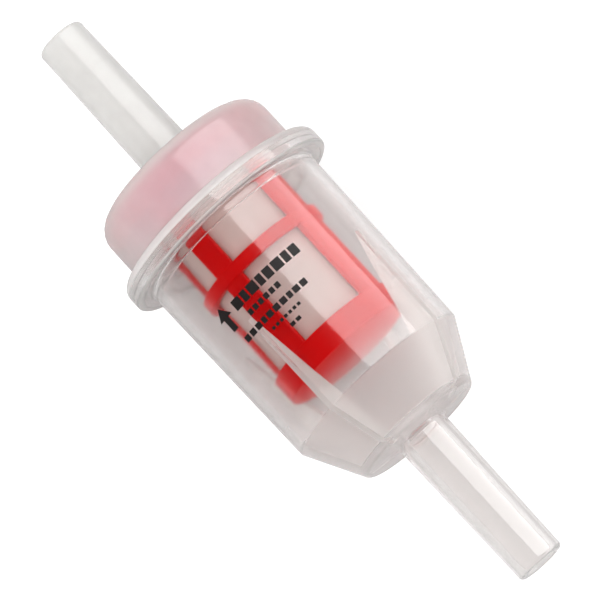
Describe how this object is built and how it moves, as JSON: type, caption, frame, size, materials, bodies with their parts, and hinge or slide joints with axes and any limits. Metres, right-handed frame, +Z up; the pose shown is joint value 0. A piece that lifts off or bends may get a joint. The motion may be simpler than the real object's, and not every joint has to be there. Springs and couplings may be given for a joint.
{
  "type": "in-line fuel filter",
  "caption": "Sealed in-line fuel filter: milky cap and clear bowl welded at a round flange, red strainer cage with fine mesh inside, and a straight hose spigot at each end.",
  "frame": {"origin": "on the filter's axis, halfway between the two spigot ends", "axes": "+X along the axis from the cap's spigot to the bowl's spigot, +Z up with the filter lying on its side"},
  "size_m": [0.106, 0.0364, 0.0364],
  "materials": {
    "milky_plastic": "milky translucent, satin",
    "clear_plastic": "clear with a faint haze, glossy",
    "red_plastic": "satin moulded",
    "nylon_mesh": "fine woven strainer mesh"
  },
  "bodies": {
    "root": {"cap_shell": "milky_plastic", "bowl_shell": "clear_plastic", "element_cage": "red_plastic", "mesh_sleeve": "nylon_mesh"}
  },
  "joints": []
}
